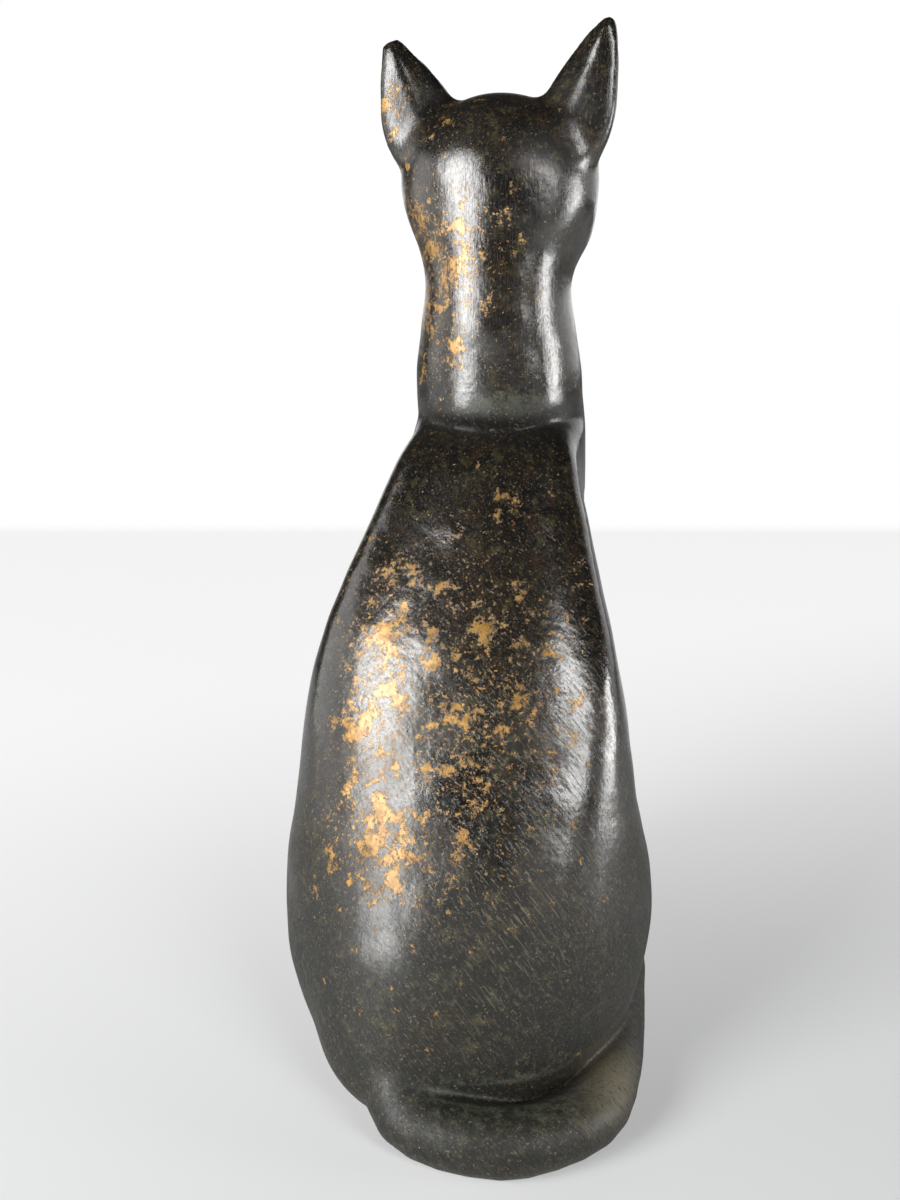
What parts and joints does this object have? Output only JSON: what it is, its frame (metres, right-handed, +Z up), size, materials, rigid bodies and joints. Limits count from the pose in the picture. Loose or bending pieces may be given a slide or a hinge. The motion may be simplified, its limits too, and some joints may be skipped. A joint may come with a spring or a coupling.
{
  "type": "cat figurine",
  "caption": "Seated cat figurine in hollow-cast bronze, upright on a flat underside, with pricked ears and the tail curled round its right side.",
  "frame": {"origin": "on the flat underside, in the cat's plane of symmetry, below the middle of its body", "axes": "+Z up, -Y the way the cat faces, +X its left side; the tail lies on its right, at -X"},
  "size_m": [0.1242, 0.2006, 0.33],
  "materials": {
    "bronze": "cast bronze with a polished brown-black patina, worn gold leaf on the back and head, and green verdigris in the creases"
  },
  "bodies": {
    "root": {"seated_cat": "bronze"}
  },
  "joints": []
}
